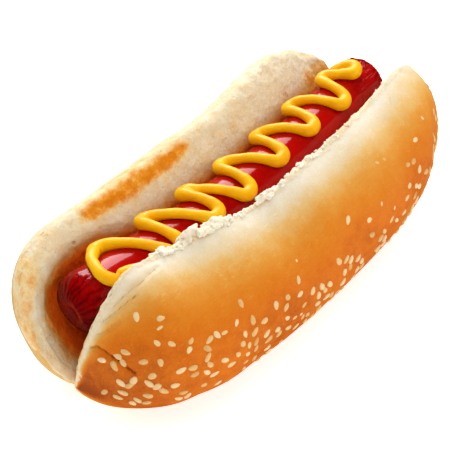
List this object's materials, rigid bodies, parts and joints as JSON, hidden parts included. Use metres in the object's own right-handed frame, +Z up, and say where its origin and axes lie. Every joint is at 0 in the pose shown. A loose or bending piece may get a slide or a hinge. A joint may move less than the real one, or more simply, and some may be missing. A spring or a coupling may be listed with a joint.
{
  "type": "hot dog",
  "caption": "Hot dog: a sausage with piped mustard in a split soft roll with sesame seeds on its crust, lying open on its hinge.",
  "frame": {"origin": "on the surface that the roll rests on, under the middle of the whole part's bounding box", "axes": "+X along the roll, towards the end where the plain half is shorter; +Y across it from the seeded half to the plain half; +Z up"},
  "size_m": [0.169, 0.0749, 0.0522],
  "materials": {
    "crust": "baked golden crust, satin, paler towards the lip",
    "crumb": "matt porous bread crumb with a toasted patch",
    "seeds": "satin hulled sesame seed",
    "sausage": "glossy dark red skin, wrinkled at the ends",
    "mustard": "glossy smooth yellow mustard"
  },
  "bodies": {
    "root": {"roll": "crust", "sausage": "sausage"}
  },
  "joints": []
}
